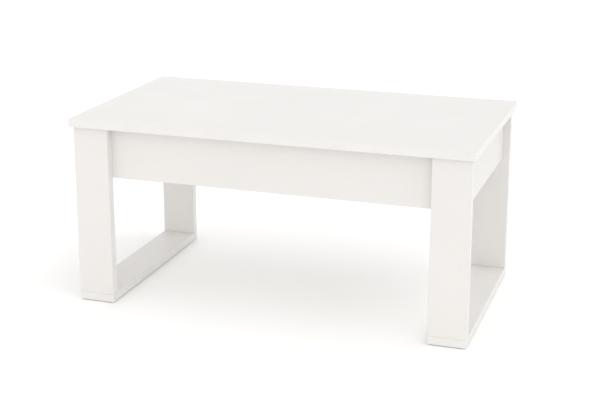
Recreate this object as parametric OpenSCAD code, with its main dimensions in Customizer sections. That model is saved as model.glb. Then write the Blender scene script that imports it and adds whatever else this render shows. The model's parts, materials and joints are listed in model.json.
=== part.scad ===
// Lift top coffee table: a storage case between two board end frames, under a top
// that rises and comes forward on a pair of strut-assisted parallel-arm lifters.
// The origin is on the floor under the middle of the closed table. +X is right,
// +Y is back and +Z is up. Sizes are in millimetres and angles in degrees.

/* [Table top] */
// Length of the top, along X
top_w = 1100; // [900:10:1400]
// Depth of the top, along Y
top_d = 600; // [580:10:700]
// Thickness of the top
top_t = 22; // [18:1:28]
// Thickness of the edging strips round the top
edging_t = 2; // [1:0.5:3]
// Height of the closed table
table_h = 515; // [480:5:560]

/* [End frames] */
// Width of the legs and runners, along X
leg_w = 100; // [80:5:120]
// Thickness of the leg boards, along Y
leg_t = 25; // [22:1:30]
// Thickness of the floor runners
runner_t = 22; // [18:1:28]
// How far the top stands past the legs on every side
overhang = 10; // [4:1:20]
// Height of the floor glides
glide_h = 2; // [2:0.5:5]

/* [Storage case] */
// Height of the front, rear and side boards
case_h = 138; // [136:1:160]
// Thickness of the front, rear and side boards
case_t = 16; // [16:1:19]
// How far the case's ends lie inside the legs' outer edges
case_inset = 20; // [12:1:28]
// Thickness of the bottom panel
bottom_t = 8; // [6:1:10]
// Gap between the case and the closed top, filled by the bumpers
lid_gap = 2; // [1:0.5:3]

/* [Lifters] */
// Distance between the two pivots of an arm
arm_len = 180; // [160:5:190]
// Width of an arm
arm_w = 22; // [18:1:24]
// Angle of the arms above the horizontal with the top down
rest_angle = 3; // [2:0.5:4]
// Angle that the arms turn through as the top rises
lift_angle = 95; // [85:1:97]
// Distance from the front pivot to each end of the gas strut
strut_reach = 85; // [80:1:86]

/* [Hidden] */
$fn = 64;

WHITE_BOARD = [0.93, 0.92, 0.90];
WHITE_PLASTIC = [0.95, 0.95, 0.94];
ZINC = [0.72, 0.73, 0.75];
STRUT_BLACK = [0.10, 0.10, 0.11];
CHROME = [0.80, 0.80, 0.82];
BEECH = [0.78, 0.62, 0.42];
NYLON = [0.88, 0.88, 0.84];

FRONT = -1;
REAR = 1;
LEFT = -1;
RIGHT = 1;
CUT = 1; // how far a cutter runs past the face that it opens

// Levels
underside = table_h - top_t;
case_top = underside - lid_gap;
case_bottom = case_top - case_h;
leg_foot = glide_h + runner_t;

// Places along X and Y
leg_x = top_w / 2 - overhang;          // outer edge of the legs
leg_y = top_d / 2 - overhang;          // outer face of the legs
leg_mid_x = leg_x - leg_w / 2;
leg_mid_y = leg_y - leg_t / 2;
case_x = leg_x - case_inset;           // outer face of the side panels
case_y = leg_y - leg_t;                // outer face of the front and rear aprons
inner_x = case_x - case_t;             // inner face of the side panels
inner_y = case_y - case_t;             // inner face of the aprons
side_mid_x = case_x - case_t / 2;

// Bottom panel, held in a groove
groove_d = 7;
groove_play = 0.2;
bottom_z = case_bottom + 12;

// Fasteners
hole_play = 0.05;
cam_r = 7.5;
cam_depth = 12.5;
cam_setback = 34;
cam_bolt_r = 3;
cam_bolt_embed = 10;
cam_bolt_head_r = 3.6;
cam_z = [case_top - 96, case_top - 36];
dowel_r = 4;
dowel_l = 30;
case_dowel_z = case_top - 66;
case_dowel_embed = 10;
runner_dowel_embed = 11;
confirmat_r = 3.5;
confirmat_head_r = 5;
confirmat_head_h = 4;
hex_r = 2.3;
hex_depth = 3;
leg_screw_l = 36;
leg_screw_x = [leg_mid_x - 30, leg_mid_x + 2];
leg_screw_z = [case_bottom + 40, case_bottom + 110];
cap_r = 6.5;
cap_h = 1.2;
runner_screw_l = 60;
runner_screw_dx = 28;
pan_r = 4;
pan_h = 2.2;
pan_shank_r = 2;
plate_screw_l = 14;
bracket_screw_l = 18;
cross_w = 1;
cross_depth = 1.2;
glide_r = 12;
glide_pin_r = 2.5;
glide_pin_l = 10;
glide_y = leg_y - 30;
bumper_r = 5;
bumper_y = 210;

// Lifter, worked out in the YZ plane; distances along X are from a side panel's inner face
plate_t = 2;
washer_r = 8;
washer_t = 0.8;
side_play = 0.2;
arm_t = 3;
arm_s = plate_t + washer_t + side_play;            // outer face of the arms
arm_in_s = arm_s + arm_t;                          // inner face of the arms
bracket_t = 2.5;
bracket_s = arm_in_s + side_play + washer_t;       // outer face of the bracket
pin_r = 4;
pin_play = 0.05;
rivet_head_r = 7;
rivet_head_h = 2;
pivot_drop = 25;
front_pivot = [-180, underside - pivot_drop];
pivot_gap = 75;
pivot_slope = -30;
rear_pivot = front_pivot + polar(pivot_slope, pivot_gap);
front_top_pivot = front_pivot + polar(rest_angle, arm_len);
rear_top_pivot = rear_pivot + polar(rest_angle, arm_len);

// Base plate
plate_y = [front_pivot[0] - 22, front_pivot[0] + 104];
plate_z = [bottom_z + bottom_t + 3, front_pivot[1] + 15];
plate_corner_r = 8;
plate_screws = [
    front_pivot + [-16, 2],
    [front_pivot[0] - 14, plate_z[0] + 9],
    [front_pivot[0] + 52, plate_z[0] + 9],
    [front_pivot[0] + 96, plate_z[0] + 12]
];

// The stop meets the rear arm's front edge when the top is up
stop_r = 3;
stop_reach = 28;
stop_turn = asin((arm_w / 2 + stop_r + side_play) / stop_reach);
stop_at = rear_pivot + polar(rest_angle + lift_angle + stop_turn, stop_reach);

// Top bracket
bracket_flange_w = 27;
bracket_flange_y = [front_top_pivot[0] - 45, rear_top_pivot[0] + 45];
bracket_web_y = [front_top_pivot[0] - 15, rear_top_pivot[0] + 15];
bracket_screw_y = [
    bracket_flange_y[0] + 10,
    bracket_flange_y[0] + 40,
    bracket_flange_y[1] - 40,
    bracket_flange_y[1] - 10
];
bracket_screw_s = bracket_s + 15;

// Gas strut: both ends are strut_reach from the front pivot, so its line always
// turns half as far as the arms do
strut_spread = 80;
strut_s = 19;
strut_low = front_pivot + polar(rest_angle - strut_spread, strut_reach);
strut_high = front_pivot + polar(rest_angle, strut_reach);
strut_tilt = rest_angle - strut_spread / 2;        // slope of the strut's perpendicular
strut_l = 2 * strut_reach * sin(strut_spread / 2);
tube_r = 7.5;
tube_wall = 1;
tube_foot = 12;
tube_l = 80;
gland_l = 10;
rod_r = 3;
rod_foot = tube_foot + 3;
rod_screw_in = 9;
piston_l = 5.5;
piston_play = 0.1;
eye_r = 8;
eye_t = 9;
neck_r = 4.3;
neck_l = 14;
stud_r = 4;
collar_r = 6.5;
clip_r = 6;
clip_t = 1.2;
stud_end_s = strut_s + eye_t / 2 + side_play + clip_t + 1;

// ---------- Placing ----------

function polar(angle, r) = r * [cos(angle), sin(angle)];

// Mirrors what is drawn for the +X side when side is LEFT
module on_side(side) {
    if (side == LEFT) mirror([1, 0, 0]) children();
    else children();
}

// Mirrors what is drawn for the +Y end when end is FRONT
module on_end(end) {
    if (end == FRONT) mirror([0, 1, 0]) children();
    else children();
}

module both_sides() {
    for (side = [LEFT, RIGHT]) on_side(side) children();
}

module all_corners() {
    for (side = [LEFT, RIGHT], end = [FRONT, REAR]) on_side(side) on_end(end) children();
}

// A box from its lowest and highest corners
module block(low, high) {
    translate(low) cube(high - low);
}

// Stands an outline drawn in YZ up as a plate, s to s + t in from the right side panel
module lifter_plate(s, t) {
    translate([inner_x - s - t, 0, 0]) rotate([90, 0, 90]) linear_extrude(t) children();
}

// A cylinder along X, from s0 to s1 in from the right side panel, about a point in YZ
module lifter_pin(at, s0, s1, r) {
    translate([inner_x - s1, at[0], at[1]]) rotate([0, 90, 0]) cylinder(h = s1 - s0, r = r);
}

// Puts the strut's own Z axis on the line from its lower to its upper stud
module along_strut() {
    translate([inner_x - strut_s, strut_low[0], strut_low[1]]) rotate([strut_tilt, 0, 0])
        children();
}

module rounded_rectangle(low, high, r) {
    translate([low[0] + r, low[1]]) square([high[0] - low[0] - 2 * r, high[1] - low[1]]);
    translate([low[0], low[1] + r]) square([high[0] - low[0], high[1] - low[1] - 2 * r]);
    for (x = [low[0] + r, high[0] - r], y = [low[1] + r, high[1] - r])
        translate([x, y]) circle(r);
}

// ---------- Fasteners ----------

// Confirmat screw pointing along +Z, its flat head level with the origin
module confirmat(l) {
    difference() {
        union() {
            cylinder(h = confirmat_head_h, r1 = confirmat_head_r, r2 = confirmat_r);
            translate([0, 0, confirmat_head_h])
                cylinder(h = l - confirmat_head_h - 4, r = confirmat_r);
            translate([0, 0, l - 4]) cylinder(h = 4, r1 = confirmat_r, r2 = 1.5);
        }
        translate([0, 0, -CUT]) cylinder(h = hex_depth + CUT, r = hex_r, $fn = 6);
    }
}

module confirmat_hole(l) {
    cylinder(h = l + 1, r = confirmat_r + hole_play);
    cylinder(h = confirmat_head_h, r1 = confirmat_head_r + hole_play,
        r2 = confirmat_r + hole_play);
    translate([0, 0, -CUT]) cylinder(h = CUT, r = confirmat_head_r + hole_play);
}

// Pan head screw pointing along +Z, the underside of its head level with the origin
module pan_screw(l) {
    difference() {
        union() {
            translate([0, 0, -pan_h * 0.6]) cylinder(h = pan_h * 0.6, r = pan_r);
            translate([0, 0, -pan_h]) cylinder(h = pan_h * 0.4, r1 = pan_r * 0.75, r2 = pan_r);
            cylinder(h = l - 3, r = pan_shank_r);
            translate([0, 0, l - 3]) cylinder(h = 3, r1 = pan_shank_r, r2 = 0.4);
        }
        for (turn = [0, 90]) rotate([0, 0, turn])
            translate([-pan_r / 2, -cross_w / 2, -pan_h - CUT])
                cube([pan_r, cross_w, cross_depth + CUT]);
    }
}

module pan_screw_hole(l) {
    translate([0, 0, -CUT]) cylinder(h = l + 1 + CUT, r = pan_shank_r + hole_play);
}

module dowel() {
    cylinder(h = 1, r1 = dowel_r - 1, r2 = dowel_r);
    translate([0, 0, 1]) cylinder(h = dowel_l - 2, r = dowel_r);
    translate([0, 0, dowel_l - 1]) cylinder(h = 1, r1 = dowel_r, r2 = dowel_r - 1);
}

// Each place_ module puts its children at every spot of one kind of fastener

// Along +Z, up through the runners into the legs
module place_runner_screws() {
    all_corners() for (dx = [-runner_screw_dx, runner_screw_dx])
        translate([leg_mid_x + dx, leg_mid_y, glide_h]) children();
}

module place_runner_dowels() {
    all_corners() translate([leg_mid_x, leg_mid_y, leg_foot - runner_dowel_embed]) children();
}

// Along +Z turned outward, from inside the case through the aprons into the legs
module place_leg_screws() {
    all_corners() for (x = leg_screw_x, z = leg_screw_z)
        translate([x, inner_y, z]) rotate([-90, 0, 0]) children();
}

// Along +Z turned inward, from inside the aprons into the ends of the side panels
module place_case_dowels() {
    all_corners() translate([side_mid_x, inner_y + case_dowel_embed, case_dowel_z])
        rotate([90, 0, 0]) children();
}

module place_cam_bolts() {
    all_corners() for (z = cam_z)
        translate([side_mid_x, inner_y + cam_bolt_embed, z]) rotate([90, 0, 0]) children();
}

// Along +Z turned outward, from a side panel's inner face
module place_cams() {
    all_corners() for (z = cam_z)
        translate([inner_x, inner_y - cam_setback, z]) rotate([0, 90, 0]) children();
}

module place_glides() {
    all_corners() translate([leg_mid_x, glide_y, 0]) children();
}

module place_plate_screws() {
    both_sides() for (at = plate_screws)
        translate([inner_x - plate_t, at[0], at[1]]) rotate([0, 90, 0]) children();
}

module place_bracket_screws() {
    both_sides() for (y = bracket_screw_y)
        translate([inner_x - bracket_screw_s, y, underside - bracket_t]) children();
}

// ---------- Table top ----------

module top_outline() {
    rounded_rectangle([-top_w / 2, -top_d / 2], [top_w / 2, top_d / 2], edging_t);
}

module top_core_outline() {
    square([top_w - 2 * edging_t, top_d - 2 * edging_t], center = true);
}

module top_panel() {
    color(WHITE_BOARD) difference() {
        translate([0, 0, underside]) linear_extrude(top_t) top_core_outline();
        place_bracket_screws() pan_screw_hole(bracket_screw_l);
    }
}

// Long strips run the whole length and the short ones fit between them
module top_edging() {
    color(WHITE_BOARD) translate([0, 0, underside]) {
        linear_extrude(top_t) difference() {
            top_outline();
            square([top_w + CUT, top_d - 2 * edging_t], center = true);
        }
        for (side = [LEFT, RIGHT])
            translate([side * (top_w - edging_t) / 2 - edging_t / 2, -top_d / 2 + edging_t, 0])
                cube([edging_t, top_d - 2 * edging_t, top_t]);
    }
}

// ---------- Storage case ----------

// The space that the bottom panel's edges need, with a little play
module bottom_groove() {
    block([-inner_x - groove_d - groove_play, -inner_y - groove_d - groove_play,
        bottom_z - groove_play],
        [inner_x + groove_d + groove_play, inner_y + groove_d + groove_play,
        bottom_z + bottom_t + groove_play]);
}

module apron(end) {
    color(WHITE_BOARD) difference() {
        on_end(end) block([-case_x, inner_y, case_bottom], [case_x, case_y, case_top]);
        bottom_groove();
        place_leg_screws() confirmat_hole(leg_screw_l);
        place_case_dowels() cylinder(h = dowel_l, r = dowel_r + hole_play);
        place_cam_bolts() cylinder(h = dowel_l, r = cam_bolt_r + hole_play);
    }
}

module side_panel(side) {
    color(WHITE_BOARD) difference() {
        on_side(side) block([inner_x, -inner_y, case_bottom], [case_x, inner_y, case_top]);
        bottom_groove();
        place_case_dowels() cylinder(h = dowel_l + hole_play, r = dowel_r + hole_play);
        place_cam_bolts()
            cylinder(h = cam_bolt_embed + cam_setback, r = cam_bolt_head_r + hole_play);
        place_cams() translate([0, 0, -CUT])
            cylinder(h = cam_depth + CUT + hole_play, r = cam_r + hole_play);
        place_plate_screws() pan_screw_hole(plate_screw_l);
    }
}

module bottom_panel() {
    color(WHITE_BOARD)
        block([-inner_x - groove_d, -inner_y - groove_d, bottom_z],
            [inner_x + groove_d, inner_y + groove_d, bottom_z + bottom_t]);
}

// A zinc disc with a slotted face and a passage for the bolt's head
module cam_locks() {
    color(ZINC) place_cams() difference() {
        cylinder(h = cam_depth, r = cam_r);
        translate([-cam_r * 0.7, -0.9, -CUT]) cube([cam_r * 1.4, 1.8, 1.6 + CUT]);
        translate([0, -1, case_t / 2]) rotate([-90, 0, 0])
            cylinder(h = cam_r + 2, r = cam_bolt_head_r + hole_play);
    }
}

module cam_bolts() {
    color(ZINC) place_cam_bolts() {
        cylinder(h = cam_bolt_embed + cam_setback - 7, r = cam_bolt_r);
        translate([0, 0, cam_bolt_embed + cam_setback - 7]) cylinder(h = 2, r = 2);
        translate([0, 0, cam_bolt_embed + cam_setback - 5])
            cylinder(h = 4, r = cam_bolt_head_r);
    }
}

module dowels() {
    color(BEECH) {
        place_case_dowels() dowel();
        place_runner_dowels() dowel();
    }
}

module lid_bumpers() {
    color(NYLON) all_corners() translate([side_mid_x, bumper_y, case_top])
        cylinder(h = lid_gap, r = bumper_r);
}

// ---------- End frames ----------

module leg(side, end) {
    color(WHITE_BOARD) difference() {
        on_side(side) on_end(end)
            block([leg_x - leg_w, leg_y - leg_t, leg_foot], [leg_x, leg_y, case_top]);
        place_leg_screws() confirmat_hole(leg_screw_l);
        place_runner_screws() confirmat_hole(runner_screw_l);
        place_runner_dowels() cylinder(h = dowel_l + hole_play, r = dowel_r + hole_play);
    }
}

module runner(side) {
    color(WHITE_BOARD) difference() {
        on_side(side) block([leg_x - leg_w, -leg_y, glide_h], [leg_x, leg_y, leg_foot]);
        place_runner_screws() confirmat_hole(runner_screw_l);
        place_runner_dowels() translate([0, 0, -hole_play])
            cylinder(h = dowel_l, r = dowel_r + hole_play);
        place_glides() cylinder(h = glide_h + glide_pin_l + 1, r = glide_pin_r + hole_play);
    }
}

module floor_glides() {
    color(WHITE_PLASTIC) place_glides() {
        cylinder(h = 1, r1 = glide_r - 1, r2 = glide_r);
        translate([0, 0, 1]) cylinder(h = glide_h - 1, r = glide_r);
        cylinder(h = glide_h + glide_pin_l, r = glide_pin_r);
    }
}

module leg_screws() {
    color(ZINC) place_leg_screws() confirmat(leg_screw_l);
}

module leg_screw_caps() {
    color(WHITE_PLASTIC) place_leg_screws() translate([0, 0, -cap_h]) {
        cylinder(h = cap_h / 2, r1 = cap_r - 1, r2 = cap_r);
        translate([0, 0, cap_h / 2]) cylinder(h = cap_h / 2, r = cap_r);
    }
}

module runner_screws() {
    color(ZINC) place_runner_screws() confirmat(runner_screw_l);
}

// ---------- Lifters ----------

// Flat bar with round ends, from a pivot to the pivot arm_len away
module arm_outline(from) {
    translate(from) rotate(rest_angle) {
        circle(d = arm_w);
        translate([arm_len, 0]) circle(d = arm_w);
        translate([0, -arm_w / 2]) square([arm_len, arm_w]);
    }
}

module arm_bores(ends) {
    for (at = ends) lifter_pin(at, arm_s - CUT, arm_in_s + CUT, pin_r + pin_play);
}

module front_arm(side) {
    color(ZINC) on_side(side) difference() {
        lifter_plate(arm_s, arm_t) arm_outline(front_pivot);
        arm_bores([front_pivot, front_top_pivot]);
        lifter_pin(strut_high, arm_s - CUT, arm_in_s + CUT, stud_r);
    }
}

module rear_arm(side) {
    color(ZINC) on_side(side) difference() {
        lifter_plate(arm_s, arm_t) arm_outline(rear_pivot);
        arm_bores([rear_pivot, rear_top_pivot]);
    }
}

module base_plate(side) {
    color(ZINC) difference() {
        on_side(side) lifter_plate(0, plate_t)
            rounded_rectangle([plate_y[0], plate_z[0]], [plate_y[1], plate_z[1]],
                plate_corner_r);
        both_sides() {
            for (at = [front_pivot, rear_pivot]) lifter_pin(at, -CUT, plate_t + CUT, pin_r);
            lifter_pin(strut_low, -CUT, plate_t + CUT, stud_r);
            lifter_pin(stop_at, -CUT, plate_t + CUT, stop_r);
        }
        place_plate_screws() pan_screw_hole(plate_screw_l);
    }
}

module base_plate_screws() {
    color(ZINC) place_plate_screws() pan_screw(plate_screw_l);
}

module base_pivot_rivets() {
    color(CHROME) both_sides() for (at = [front_pivot, rear_pivot]) {
        lifter_pin(at, 0, arm_in_s + side_play, pin_r);
        lifter_pin(at, arm_in_s + side_play, arm_in_s + side_play + rivet_head_h,
            rivet_head_r);
    }
}

module washer(at, s) {
    difference() {
        lifter_pin(at, s, s + washer_t, washer_r);
        lifter_pin(at, s - CUT, s + washer_t + CUT, pin_r + pin_play);
    }
}

module base_pivot_washers() {
    color(NYLON) both_sides()
        for (at = [front_pivot, rear_pivot]) washer(at, plate_t);
}

module stop_pins() {
    color(CHROME) both_sides() lifter_pin(stop_at, 0, arm_in_s, stop_r);
}

module top_bracket(side) {
    web_low = underside - bracket_t;
    color(ZINC) on_side(side) difference() {
        union() {
            lifter_plate(bracket_s, bracket_t) {
                translate([bracket_web_y[0], rear_top_pivot[1]])
                    square([bracket_web_y[1] - bracket_web_y[0], underside - rear_top_pivot[1]]);
                translate(rear_top_pivot) circle(15);
                translate([bracket_web_y[0] + 10, rear_top_pivot[1]]) circle(10);
                translate([bracket_web_y[0] + 10, rear_top_pivot[1] - 10])
                    square([rear_top_pivot[0] - bracket_web_y[0] - 10, 20]);
            }
            block([inner_x - bracket_s - bracket_flange_w, bracket_flange_y[0], web_low],
                [inner_x - bracket_s, bracket_flange_y[1], underside]);
        }
        for (at = [front_top_pivot, rear_top_pivot])
            lifter_pin(at, bracket_s - CUT, bracket_s + bracket_t + CUT, pin_r);
        place_bracket_screws() translate([0, 0, -CUT]) pan_screw_hole(bracket_screw_l);
    }
}

module bracket_screws() {
    color(ZINC) place_bracket_screws() pan_screw(bracket_screw_l);
}

module top_pivot_rivets() {
    inner_face = bracket_s + bracket_t;
    color(CHROME) both_sides() for (at = [front_top_pivot, rear_top_pivot]) {
        lifter_pin(at, arm_s - side_play, inner_face, pin_r);
        lifter_pin(at, arm_s - side_play - 1.6, arm_s - side_play, rivet_head_r);
        lifter_pin(at, inner_face, inner_face + rivet_head_h, rivet_head_r);
    }
}

module top_pivot_washers() {
    color(NYLON) both_sides()
        for (at = [front_top_pivot, rear_top_pivot]) washer(at, bracket_s - washer_t);
}

// ---------- Gas struts ----------

// Stud with a collar that holds the strut's eye clear of the arms
module strut_stud(at, foot_s, collar_s) {
    lifter_pin(at, foot_s, stud_end_s, stud_r);
    lifter_pin(at, collar_s, strut_s - eye_t / 2 - side_play, collar_r);
}

module strut_clip(at) {
    s = strut_s + eye_t / 2 + side_play;
    difference() {
        lifter_pin(at, s, s + clip_t, clip_r);
        lifter_pin(at, s - CUT, s + clip_t + CUT, stud_r);
    }
}

module lower_strut_studs() {
    color(CHROME) both_sides() strut_stud(strut_low, 0, plate_t);
}

module lower_strut_clips() {
    color(ZINC) both_sides() strut_clip(strut_low);
}

module upper_strut_stud(side) {
    color(CHROME) on_side(side) strut_stud(strut_high, arm_s, arm_in_s);
}

module upper_strut_clip(side) {
    color(ZINC) on_side(side) strut_clip(strut_high);
}

module strut_tube(side) {
    color(STRUT_BLACK) on_side(side) along_strut() translate([0, 0, tube_foot]) difference() {
        cylinder(h = tube_l, r = tube_r);
        translate([0, 0, 2 * tube_wall]) cylinder(h = tube_l, r = tube_r - tube_wall);
    }
}

module strut_gland(side) {
    color(STRUT_BLACK) on_side(side) along_strut()
        translate([0, 0, tube_foot + tube_l - gland_l]) difference() {
            cylinder(h = gland_l, r = tube_r - tube_wall);
            translate([0, 0, -CUT]) cylinder(h = gland_l + 2 * CUT, r = rod_r + pin_play);
        }
}

module strut_rod(side) {
    color(CHROME) on_side(side) along_strut() translate([0, 0, rod_foot])
        cylinder(h = strut_l - rod_screw_in - rod_foot, r = rod_r);
}

module strut_piston(side) {
    color(STRUT_BLACK) on_side(side) along_strut() translate([0, 0, rod_foot]) difference() {
        cylinder(h = piston_l, r = tube_r - tube_wall - piston_play);
        translate([0, 0, -CUT]) cylinder(h = piston_l + 2 * CUT, r = rod_r);
    }
}

// Round eye about X with a neck along +Z
module strut_eye(neck) {
    difference() {
        union() {
            rotate([0, 90, 0]) cylinder(h = eye_t, r = eye_r, center = true);
            cylinder(h = neck, r = neck_r);
        }
        rotate([0, 90, 0]) cylinder(h = eye_t + 2 * CUT, r = stud_r + pin_play, center = true);
    }
}

module strut_lower_eye(side) {
    color(STRUT_BLACK) on_side(side) along_strut() strut_eye(tube_foot);
}

module strut_upper_eye(side) {
    color(STRUT_BLACK) on_side(side) along_strut() translate([0, 0, strut_l]) mirror([0, 0, 1])
        difference() {
            strut_eye(neck_l);
            translate([0, 0, rod_screw_in]) cylinder(h = neck_l, r = rod_r);
        }
}

// ---------- The pieces ----------

top_panel();
top_edging();
apron(FRONT);  // front_apron
apron(REAR);  // rear_apron
side_panel(LEFT);  // left_side_panel
side_panel(RIGHT);  // right_side_panel
bottom_panel();
leg(LEFT, FRONT);  // front_left_leg
leg(RIGHT, FRONT);  // front_right_leg
leg(LEFT, REAR);  // rear_left_leg
leg(RIGHT, REAR);  // rear_right_leg
runner(LEFT);  // left_runner
runner(RIGHT);  // right_runner
floor_glides();
lid_bumpers();
cam_locks();
cam_bolts();
dowels();
leg_screws();
leg_screw_caps();
runner_screws();
base_plate(LEFT);  // left_base_plate
base_plate(RIGHT);  // right_base_plate
base_plate_screws();
base_pivot_rivets();
base_pivot_washers();
stop_pins();
lower_strut_studs();
lower_strut_clips();
front_arm(LEFT);  // left_front_arm
rear_arm(LEFT);  // left_rear_arm
front_arm(RIGHT);  // right_front_arm
rear_arm(RIGHT);  // right_rear_arm
upper_strut_stud(LEFT);  // left_upper_strut_stud
upper_strut_stud(RIGHT);  // right_upper_strut_stud
upper_strut_clip(LEFT);  // left_upper_strut_clip
upper_strut_clip(RIGHT);  // right_upper_strut_clip
top_bracket(LEFT);  // left_top_bracket
top_bracket(RIGHT);  // right_top_bracket
bracket_screws();
top_pivot_rivets();
top_pivot_washers();
strut_tube(LEFT);  // left_strut_tube
strut_tube(RIGHT);  // right_strut_tube
strut_lower_eye(LEFT);  // left_strut_lower_eye
strut_lower_eye(RIGHT);  // right_strut_lower_eye
strut_gland(LEFT);  // left_strut_gland
strut_gland(RIGHT);  // right_strut_gland
strut_rod(LEFT);  // left_strut_rod
strut_rod(RIGHT);  // right_strut_rod
strut_piston(LEFT);  // left_strut_piston
strut_piston(RIGHT);  // right_strut_piston
strut_upper_eye(LEFT);  // left_strut_upper_eye
strut_upper_eye(RIGHT);  // right_strut_upper_eye
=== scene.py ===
"""Looks for the lift top coffee table: board finishes, metal and plastic parts, light, floor and camera.

Every size is in metres in the CAD frame: +X right, +Y back, +Z up, origin on the floor.
"""

import json
import math

import bmesh
import bpy
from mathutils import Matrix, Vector

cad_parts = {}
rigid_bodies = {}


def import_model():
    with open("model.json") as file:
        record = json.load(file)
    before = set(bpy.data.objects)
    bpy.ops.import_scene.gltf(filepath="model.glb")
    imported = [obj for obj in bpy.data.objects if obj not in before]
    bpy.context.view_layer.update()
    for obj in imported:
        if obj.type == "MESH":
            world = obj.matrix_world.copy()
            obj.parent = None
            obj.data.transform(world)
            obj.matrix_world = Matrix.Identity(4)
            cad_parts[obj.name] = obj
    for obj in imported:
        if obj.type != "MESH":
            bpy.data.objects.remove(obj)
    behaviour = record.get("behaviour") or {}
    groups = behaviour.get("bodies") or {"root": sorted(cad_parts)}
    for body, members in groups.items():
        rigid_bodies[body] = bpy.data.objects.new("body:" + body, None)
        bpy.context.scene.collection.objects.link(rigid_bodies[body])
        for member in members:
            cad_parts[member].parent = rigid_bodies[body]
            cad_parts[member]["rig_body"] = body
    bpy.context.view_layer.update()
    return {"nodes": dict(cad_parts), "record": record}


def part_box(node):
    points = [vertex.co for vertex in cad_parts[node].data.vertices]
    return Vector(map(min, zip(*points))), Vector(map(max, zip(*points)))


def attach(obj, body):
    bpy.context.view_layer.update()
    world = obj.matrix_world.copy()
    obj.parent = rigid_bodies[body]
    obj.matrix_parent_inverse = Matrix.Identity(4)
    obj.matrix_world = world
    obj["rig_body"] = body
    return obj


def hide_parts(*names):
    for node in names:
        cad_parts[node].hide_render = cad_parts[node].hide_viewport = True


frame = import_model()

MM = 0.001

# ---------- Camera and light ----------

CAMERA_PLACE = Vector((1.091, -3.222, 1.305))
CAMERA_TURN = 18.67  # degrees to the left of straight back
CAMERA_DROP = 14.98  # degrees below level
CAMERA_LENS = 76.24  # focal length in millimetres
CAMERA_SENSOR = 36  # millimetres across
CAMERA_SHIFT = -0.08

ROOM_LIGHT = 1.0  # just bright enough to keep the background white
SOFT_LIGHT_WIDTH = 40  # degrees across
SOFT_LIGHTS = [  # name, turn to the right of the front, height above level, strength, colour
    ("front", 20, 20, 0.22, (1.0, 0.97, 0.92)),
    ("front_right", 45, 35, 0.20, (1.0, 0.98, 0.95)),
    ("right_above", 90, 60, 0.42, (1.0, 0.995, 0.99)),
    ("front_left", -45, 35, 0.10, (1.0, 0.97, 0.92)),
]
FLOOR_COLOUR = (0.975, 0.971, 0.963)

FLOOR_RADIUS = 30.0
FLOOR_SIDES = 128

# ---------- Which piece gets which treatment ----------

BOARDS = [
    "top_panel",
    "front_apron",
    "rear_apron",
    "left_side_panel",
    "right_side_panel",
    "bottom_panel",
    "front_left_leg",
    "front_right_leg",
    "rear_left_leg",
    "rear_right_leg",
    "left_runner",
    "right_runner",
]
BOARD_ROUNDING = 0.9 * MM
BOARD_ROUNDING_STEPS = 3
TOP_CORE_ROUNDING = 0.25 * MM  # the top's core meets its edging strips, so it stays nearly square
EDGING_ROUNDING = 1.4 * MM
EDGING_ROUNDING_STEPS = 4

EASED = {  # node: rounding of its outward edges and the steps across it
    "left_base_plate": (0.4 * MM, 2),
    "right_base_plate": (0.4 * MM, 2),
    "base_plate_screws": (0.35 * MM, 3),
    "base_pivot_rivets": (0.8 * MM, 4),
    "base_pivot_washers": (0.15 * MM, 2),
    "stop_pins": (0.6 * MM, 3),
    "lower_strut_studs": (0.5 * MM, 3),
    "lower_strut_clips": (0.2 * MM, 2),
    "left_front_arm": (0.5 * MM, 3),
    "right_front_arm": (0.5 * MM, 3),
    "left_rear_arm": (0.5 * MM, 3),
    "right_rear_arm": (0.5 * MM, 3),
    "left_upper_strut_stud": (0.5 * MM, 3),
    "right_upper_strut_stud": (0.5 * MM, 3),
    "left_upper_strut_clip": (0.2 * MM, 2),
    "right_upper_strut_clip": (0.2 * MM, 2),
    "left_top_bracket": (0.4 * MM, 2),
    "right_top_bracket": (0.4 * MM, 2),
    "bracket_screws": (0.35 * MM, 3),
    "top_pivot_rivets": (0.7 * MM, 4),
    "top_pivot_washers": (0.15 * MM, 2),
    "left_strut_lower_eye": (0.8 * MM, 3),
    "right_strut_lower_eye": (0.8 * MM, 3),
    "left_strut_upper_eye": (0.8 * MM, 3),
    "right_strut_upper_eye": (0.8 * MM, 3),
    "cam_locks": (0.3 * MM, 2),
    "leg_screw_caps": (0.35 * MM, 3),
    "runner_screws": (0.2 * MM, 2),
    "floor_glides": (0.6 * MM, 3),
    "lid_bumpers": (0.9 * MM, 4),
}
TUBE_SIDES = 48  # the struts' outer tubes
TUBE_WALL = 1 * MM
TUBE_FOOT_ROUNDING = 1.6 * MM
CRIMP_SETBACK = 8 * MM  # from the tube's open end
CRIMP_WIDTH = 2.6 * MM
CRIMP_DEPTH = 0.6 * MM

WELD = 0.01 * MM  # corners closer than this are one corner
FLAT_ANGLE = math.radians(0.4)  # faces that differ by less are one flat face
CREASE_ANGLE = math.radians(40)  # edges sharper than this are eased and shaded as edges
SEAM_ANGLE = math.radians(25)  # the part of a board's rounding that shows as its glue line
LAMINATE_FACE, EDGING_FACE, GLUE_FACE, CORE_FACE = range(4)  # a board's material slots


# ---------- Small node helpers ----------

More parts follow.
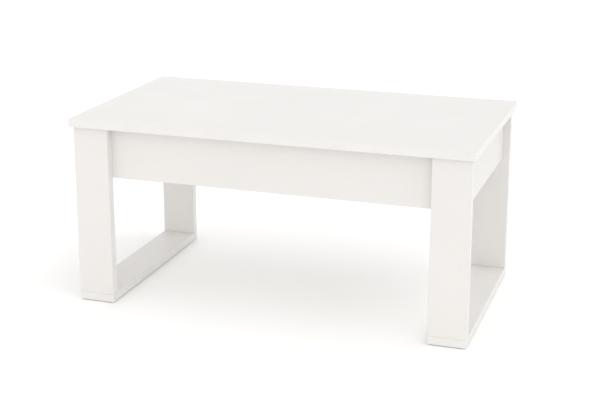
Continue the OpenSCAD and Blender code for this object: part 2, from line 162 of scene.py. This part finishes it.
class Shader:
    """A Principled material and the nodes that feed it."""

    def __init__(self, name, color, roughness, metallic=0.0, **sockets):
        self.material = bpy.data.materials.new(name)
        self.material.use_nodes = True
        self.nodes = self.material.node_tree.nodes
        self.links = self.material.node_tree.links
        self.shader = self.nodes["Principled BSDF"]
        self.shader.inputs["Base Color"].default_value = (*color, 1)
        self.shader.inputs["Roughness"].default_value = roughness
        self.shader.inputs["Metallic"].default_value = metallic
        for socket, value in sockets.items():
            self.shader.inputs[socket.replace("_", " ")].default_value = value
        self.place = self.nodes.new("ShaderNodeTexCoord").outputs["Object"]
        self.material.diffuse_color = (*color, 1)

    def stretched(self, scale):
        """The piece's own coordinates in metres, multiplied along each axis."""
        mapping = self.nodes.new("ShaderNodeMapping")
        mapping.inputs["Scale"].default_value = scale
        self.links.new(self.place, mapping.inputs["Vector"])
        return mapping.outputs["Vector"]

    def noise(self, size, detail=2.0, roughness=0.5, stretch=(1, 1, 1)):
        """Noise from 0 to 1 whose features are about size metres across."""
        node = self.nodes.new("ShaderNodeTexNoise")
        node.inputs["Scale"].default_value = 1 / size
        node.inputs["Detail"].default_value = detail
        node.inputs["Roughness"].default_value = roughness
        self.links.new(self.stretched(stretch), node.inputs["Vector"])
        return node.outputs["Fac"]

    def cells(self, size, stretch=(1, 1, 1), output="Distance"):
        """Random cells about size metres across."""
        node = self.nodes.new("ShaderNodeTexVoronoi")
        node.inputs["Scale"].default_value = 1 / size
        self.links.new(self.stretched(stretch), node.inputs["Vector"])
        return node.outputs[output]

    def ranged(self, value, low, high, start=0.3, end=0.7):
        """value, from start to end, mapped to low to high."""
        node = self.nodes.new("ShaderNodeMapRange")
        node.inputs["From Min"].default_value = start
        node.inputs["From Max"].default_value = end
        node.inputs["To Min"].default_value = low
        node.inputs["To Max"].default_value = high
        self.links.new(value, node.inputs["Value"])
        return node.outputs["Result"]

    def mixed(self, factor, one, other):
        """A colour between one and other, each a colour or a socket."""
        node = self.nodes.new("ShaderNodeMix")
        node.data_type = "RGBA"
        self.links.new(factor, node.inputs["Factor"])
        for socket, colour in (("A", one), ("B", other)):
            target = next(i for i in node.inputs if i.name == socket and i.type == "RGBA")
            if isinstance(colour, tuple):
                target.default_value = (*colour, 1)
            else:
                self.links.new(colour, target)
        return next(o for o in node.outputs if o.type == "RGBA")

    def summed(self, *values):
        """The sum of several sockets."""
        total = values[0]
        for value in values[1:]:
            node = self.nodes.new("ShaderNodeMath")
            node.operation = "ADD"
            self.links.new(total, node.inputs[0])
            self.links.new(value, node.inputs[1])
            total = node.outputs[0]
        return total

    def colour(self, socket):
        """Takes the base colour from socket."""
        self.links.new(socket, self.shader.inputs["Base Color"])

    def gloss(self, socket):
        """Takes the roughness from socket."""
        self.links.new(socket, self.shader.inputs["Roughness"])

    def bump(self, socket, depth):
        """Raises the surface by up to depth metres where socket goes from 0 to 1."""
        node = self.nodes.new("ShaderNodeBump")
        node.inputs["Strength"].default_value = 1.0
        node.inputs["Distance"].default_value = depth
        self.links.new(socket, node.inputs["Height"])
        self.links.new(node.outputs["Normal"], self.shader.inputs["Normal"])


def tinted(color, factor):
    """color made lighter or darker by factor."""
    return tuple(min(1.0, c * factor) for c in color)


# ---------- Materials ----------

LAMINATE_COLOUR = (0.75, 0.732, 0.714)
EDGING_COLOUR = (0.755, 0.74, 0.724)
GLUE_COLOUR = (0.62, 0.59, 0.54)


def laminate():
    """White melamine: faint pearl texture, slow drift of tone and a satin sheen."""
    s = Shader("white_laminate", LAMINATE_COLOUR, 0.42, Specular_IOR_Level=0.5)
    drift = s.noise(0.35, detail=3.0)
    toned = s.mixed(s.ranged(drift, 0, 1), tinted(LAMINATE_COLOUR, 0.985),
                    tinted(LAMINATE_COLOUR, 1.012))
    pearl = s.noise(1.3 * MM, detail=3.0)
    speckled = s.mixed(s.ranged(pearl, 0, 0.35), toned, tinted(LAMINATE_COLOUR, 0.955))
    s.colour(speckled)
    s.gloss(s.ranged(s.noise(0.12, detail=4.0), 0.36, 0.47))
    s.bump(s.summed(pearl, s.noise(4 * MM)), 0.012 * MM)
    return s.material


def edging():
    """Edge banding: a little smoother and brighter than the boards, with faint milling waves."""
    s = Shader("white_edging", EDGING_COLOUR, 0.34, Specular_IOR_Level=0.5)
    s.colour(s.mixed(s.ranged(s.noise(0.06, detail=3.0), 0, 1), tinted(EDGING_COLOUR, 0.98),
                     tinted(EDGING_COLOUR, 1.015)))
    s.gloss(s.ranged(s.noise(0.02, detail=3.0), 0.29, 0.39))
    s.bump(s.noise(2.5 * MM, detail=1.0), 0.01 * MM)
    return s.material


def glue_line():
    """The hairline joint between a board's face and its edging."""
    s = Shader("glue_line", GLUE_COLOUR, 0.6)
    s.colour(s.mixed(s.ranged(s.noise(14 * MM), 0, 1), tinted(GLUE_COLOUR, 0.93),
                     tinted(GLUE_COLOUR, 1.07)))
    return s.material


def chipboard():
    """Raw chipboard, where a board is drilled or grooved."""
    pale, brown = (0.62, 0.47, 0.30), (0.36, 0.24, 0.13)
    s = Shader("chipboard", pale, 0.85)
    chips = s.cells(3 * MM, stretch=(1, 1, 2.2), output="Color")
    tone = s.nodes.new("ShaderNodeSeparateColor")
    s.links.new(chips, tone.inputs["Color"])
    s.colour(s.mixed(tone.outputs["Red"], pale, brown))
    s.bump(s.cells(3 * MM, stretch=(1, 1, 2.2)), 0.3 * MM)
    return s.material


def zinc_steel():
    """Zinc plated pressed steel with a faint blue cast, rolling lines and cloudy patches."""
    base = (0.60, 0.62, 0.655)
    s = Shader("zinc_plated_steel", base, 0.34, metallic=1.0)
    cloud = s.noise(9 * MM, detail=5.0, roughness=0.6)
    rolling = s.noise(0.5 * MM, detail=2.0, stretch=(1, 0.04, 1))
    s.colour(s.mixed(s.ranged(cloud, 0, 1), tinted(base, 0.86), tinted(base, 1.1)))
    s.gloss(s.ranged(s.summed(cloud, rolling), 0.26, 0.46, start=0.6, end=1.4))
    s.bump(rolling, 0.006 * MM)
    return s.material


def bright_steel():
    """Polished pins, rivets and strut rods with hairline scratches."""
    base = (0.74, 0.74, 0.75)
    s = Shader("bright_steel", base, 0.14, metallic=1.0)
    scratch = s.noise(0.25 * MM, detail=1.0, stretch=(1, 1, 0.06))
    s.colour(s.mixed(s.ranged(s.noise(6 * MM), 0, 1), tinted(base, 0.93), tinted(base, 1.05)))
    s.gloss(s.ranged(scratch, 0.10, 0.24))
    s.bump(scratch, 0.002 * MM)
    return s.material


def black_paint():
    """Satin black enamel on the strut tubes, with a little orange peel."""
    base = (0.014, 0.014, 0.016)
    s = Shader("black_steel", base, 0.32, Coat_Weight=0.25, Coat_Roughness=0.2)
    s.colour(s.mixed(s.ranged(s.noise(12 * MM, detail=3.0), 0, 1), base, tinted(base, 1.7)))
    s.gloss(s.ranged(s.noise(5 * MM, detail=3.0), 0.26, 0.42))
    s.bump(s.noise(1.2 * MM), 0.01 * MM)
    return s.material


def moulded(name, color, roughness, **sockets):
    """Moulded plastic or rubber with a fine matt grain."""
    s = Shader(name, color, roughness, **sockets)
    s.colour(s.mixed(s.ranged(s.noise(5 * MM, detail=3.0), 0, 1), tinted(color, 0.94),
                     tinted(color, 1.05)))
    s.gloss(s.ranged(s.noise(1.5 * MM, detail=3.0), roughness - 0.06, roughness + 0.08))
    s.bump(s.noise(0.35 * MM, detail=1.0), 0.012 * MM)
    return s.material


def beech():
    """Fluted beech dowels: long grain with short dark flecks."""
    base = (0.62, 0.43, 0.25)
    s = Shader("beech", base, 0.62)
    grain = s.noise(1.2 * MM, detail=4.0, stretch=(1, 1, 0.12))
    s.colour(s.mixed(s.ranged(grain, 0, 1), tinted(base, 0.72), tinted(base, 1.12)))
    s.bump(grain, 0.05 * MM)
    return s.material


FINISHES = {
    "white_laminate": laminate(),
    "white_edging": edging(),
    "white_plastic": moulded("white_plastic", (0.82, 0.815, 0.80), 0.42),
    "bumper_rubber": moulded("bumper_rubber", (0.66, 0.66, 0.62), 0.38,
                             Subsurface_Weight=0.15, Subsurface_Scale=0.002),
    "zinc_plated_steel": zinc_steel(),
    "bright_steel": bright_steel(),
    "black_steel": black_paint(),
    "black_plastic": moulded("black_plastic", (0.022, 0.022, 0.024), 0.5),
    "nylon": moulded("nylon", (0.78, 0.77, 0.72), 0.45, Subsurface_Weight=0.1,
                     Subsurface_Scale=0.001),
    "beech": beech(),
}
GLUE_LINE = glue_line()
CHIPBOARD = chipboard()
SLOT_OF = {p["node"]: p["material_slot"] for p in frame["record"]["subparts"]}


# ---------- Building pieces from the CAD nodes ----------

def cleaned(node):
    """The CAD node's shape as a bmesh with shared corners and whole flat faces."""
    bm = bmesh.new()
    bm.from_mesh(frame["nodes"][node].data)
    bmesh.ops.remove_doubles(bm, verts=bm.verts, dist=WELD)
    bmesh.ops.dissolve_limit(bm, angle_limit=FLAT_ANGLE, verts=bm.verts, edges=bm.edges)
    bm.normal_update()
    return bm


def rounded(bm, edges, radius, steps):
    """Rounds the given edges of bm."""
    bmesh.ops.bevel(bm, geom=edges, offset=radius, offset_type="OFFSET", segments=steps,
                    profile=0.5, affect="EDGES", clamp_overlap=True)
    bm.normal_update()


def finished(bm, name, node, materials):
    """Turns bm into a piece that stands for the CAD node and rides on the same body."""
    mesh = bpy.data.meshes.new(name)
    bm.to_mesh(mesh)
    bm.free()
    mesh.shade_smooth()
    mesh.set_sharp_from_angle(angle=CREASE_ANGLE)
    for material in materials:
        mesh.materials.append(material)
    piece = bpy.data.objects.new(name, mesh)
    bpy.context.scene.collection.objects.link(piece)
    normals = piece.modifiers.new("even_normals", "WEIGHTED_NORMAL")
    normals.keep_sharp = True
    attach(piece, frame["nodes"][node]["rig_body"])
    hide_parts(node)


def outer_edges(bm, low, high):
    """The edges of bm that lie along the edges of the box from low to high."""

    def sides(point):
        return {(axis, end) for axis in range(3) for end, corner in enumerate((low, high))
                if abs(point[axis] - corner[axis]) < WELD}

    return [e for e in bm.edges if len(sides(e.verts[0].co) & sides(e.verts[1].co)) >= 2]


def paint_board(bm, low, high, thin):
    """Laminate on the two broad faces, edging round them, glue at the seam, chipboard inside."""
    for face in bm.faces:
        lean = face.normal.angle(Vector([axis == thin for axis in range(3)]), 0)
        lean = min(lean, math.pi - lean)
        centre = face.calc_center_median()
        inset = min(min(centre[a] - low[a], high[a] - centre[a]) for a in range(3))
        if inset > BOARD_ROUNDING:
            face.material_index = CORE_FACE
        elif lean < FLAT_ANGLE:
            face.material_index = LAMINATE_FACE
        elif lean < SEAM_ANGLE:
            face.material_index = GLUE_FACE
        else:
            face.material_index = EDGING_FACE


def board(node, radius):
    """An edge-banded board with rounded outer edges, in place of the CAD node."""
    low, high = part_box(node)
    size = high - low
    thin = min(range(3), key=lambda axis: size[axis])
    bm = cleaned(node)
    rounded(bm, outer_edges(bm, low, high), radius, BOARD_ROUNDING_STEPS)
    paint_board(bm, low, high, thin)
    materials = [FINISHES["white_laminate"], FINISHES["white_edging"], GLUE_LINE, CHIPBOARD]
    finished(bm, node + "_board", node, materials)


def eased(node, radius, steps):
    """A piece with every sharp outward edge of the CAD node eased."""
    bm = cleaned(node)
    sharp = [e for e in bm.edges if len(e.link_faces) == 2
             and e.calc_face_angle_signed(0) > CREASE_ANGLE]
    rounded(bm, sharp, radius, steps)
    finished(bm, node + "_eased", node, [FINISHES[SLOT_OF[node]]])


def middle(node, side):
    """The middle of what the CAD node has on one side of the table, -1 left or 1 right."""
    points = [v.co for v in frame["nodes"][node].data.vertices if v.co.x * side > 0]
    return Vector([(min(p[a] for p in points) + max(p[a] for p in points)) / 2 for a in range(3)])


def arc(start, end, step):
    """The angles from start to end degrees, in radians."""
    return [math.radians(d) for d in range(start, end + 1, step)]


def turned(profile, foot, along, sides):
    """A bmesh made by turning (radius, height) points round the line from foot along a direction."""
    bm = bmesh.new()
    turn = Vector((0, 0, 1)).rotation_difference(along)
    angles = [math.tau * i / sides for i in range(sides)]
    rings = []
    for radius, height in profile:
        if radius == 0:
            rings.append([bm.verts.new(foot + along * height)])
            continue
        ring = [Vector((radius * math.cos(a), radius * math.sin(a), height)) for a in angles]
        rings.append([bm.verts.new(foot + turn @ point) for point in ring])
    for low, high in zip(rings, rings[1:]):
        for i in range(sides):
            corners = [low[i % len(low)], low[(i + 1) % len(low)],
                       high[(i + 1) % len(high)], high[i % len(high)]]
            bm.faces.new(list(dict.fromkeys(corners)))
    bm.normal_update()
    return bm


def strut_tube(prefix, side):
    """A gas strut's tube with a rounded foot, a crimp groove and a rolled rim over the gland."""
    node = prefix + "_strut_tube"
    foot = middle("lower_strut_studs", side)
    foot.x = middle(node, side).x
    top = middle(prefix + "_upper_strut_stud", side)
    top.x = foot.x
    along = (top - foot).normalized()
    points = [v.co - foot for v in frame["nodes"][node].data.vertices]
    heights = [p.dot(along) for p in points]
    low, high = min(heights), max(heights)
    radius = max((p - along * p.dot(along)).length for p in points)
    bore = radius - TUBE_WALL
    profile = [(0, low)]
    profile += [(radius - TUBE_FOOT_ROUNDING * (1 - math.sin(a)),
                 low + TUBE_FOOT_ROUNDING * (1 - math.cos(a)))
                for a in arc(0, 90, 15)]
    groove = high - CRIMP_SETBACK
    profile += [(radius - CRIMP_DEPTH * math.cos(a) ** 2,
                 groove + CRIMP_WIDTH * a / math.pi)
                for a in arc(-90, 90, 18)]
    rim = TUBE_WALL / 2
    profile += [(radius - rim * (1 - math.cos(a)), high - rim * (1 - math.sin(a)))
                for a in arc(0, 180, 20)]
    bore_end = low + 2 * TUBE_WALL
    profile += [(bore, bore_end), (0, bore_end)]
    bm = turned(profile, foot, along, TUBE_SIDES)
    finished(bm, node + "_turned", node, [FINISHES[SLOT_OF[node]]])


def paint_cad_nodes():
    """Gives every CAD node its finish, the ones that a piece replaces among them."""
    for name, node in frame["nodes"].items():
        node.data.materials.clear()
        node.data.materials.append(FINISHES[SLOT_OF[name]])


# ---------- The table ----------

paint_cad_nodes()
for name in BOARDS:
    board(name, TOP_CORE_ROUNDING if name == "top_panel" else BOARD_ROUNDING)
eased("top_edging", EDGING_ROUNDING, EDGING_ROUNDING_STEPS)
for name, (radius, steps) in EASED.items():
    eased(name, radius, steps)
strut_tube("left", -1)
strut_tube("right", 1)


# ---------- Floor, light and camera ----------

def make_floor():
    """A wide plain floor that runs out to the horizon."""
    bm = bmesh.new()
    bmesh.ops.create_circle(bm, cap_ends=True, radius=FLOOR_RADIUS, segments=FLOOR_SIDES)
    mesh = bpy.data.meshes.new("floor")
    bm.to_mesh(mesh)
    bm.free()
    floor = bpy.data.objects.new("floor", mesh)
    bpy.context.scene.collection.objects.link(floor)
    s = Shader("pale_floor", FLOOR_COLOUR, 0.6)
    mesh.materials.append(s.material)


def soft_light(name, turn, height, strength, colour):
    """A broad distant light, turn degrees to the right of the front and height above level."""
    data = bpy.data.lights.new(name, "SUN")
    data.energy = strength
    data.color = colour
    data.angle = math.radians(SOFT_LIGHT_WIDTH)
    light = bpy.data.objects.new(name, data)
    turn, height = math.radians(turn), math.radians(height)
    towards = Vector((
        math.sin(turn) * math.cos(height),
        -math.cos(turn) * math.cos(height),
        math.sin(height),
    ))
    light.rotation_euler = towards.to_track_quat("Z", "Y").to_euler()
    bpy.context.scene.collection.objects.link(light)


def make_world(strength):
    """Even white light from all round."""
    world = bpy.data.worlds.new("studio")
    world.use_nodes = True
    background = world.node_tree.nodes["Background"]
    background.inputs["Color"].default_value = (1, 1, 1, 1)
    background.inputs["Strength"].default_value = strength
    bpy.context.scene.world = world


def make_camera():
    """The camera at the table's front right."""
    data = bpy.data.cameras.new("camera")
    data.sensor_width = CAMERA_SENSOR
    data.lens = CAMERA_LENS
    data.shift_y = CAMERA_SHIFT
    camera = bpy.data.objects.new("camera", data)
    camera.location = CAMERA_PLACE
    camera.rotation_euler = (math.radians(90 - CAMERA_DROP), 0, math.radians(CAMERA_TURN))
    bpy.context.scene.collection.objects.link(camera)
    bpy.context.scene.camera = camera


make_floor()
make_world(ROOM_LIGHT)
for light in SOFT_LIGHTS:
    soft_light(*light)
make_camera()
bpy.context.scene.view_settings.view_transform = "Standard"
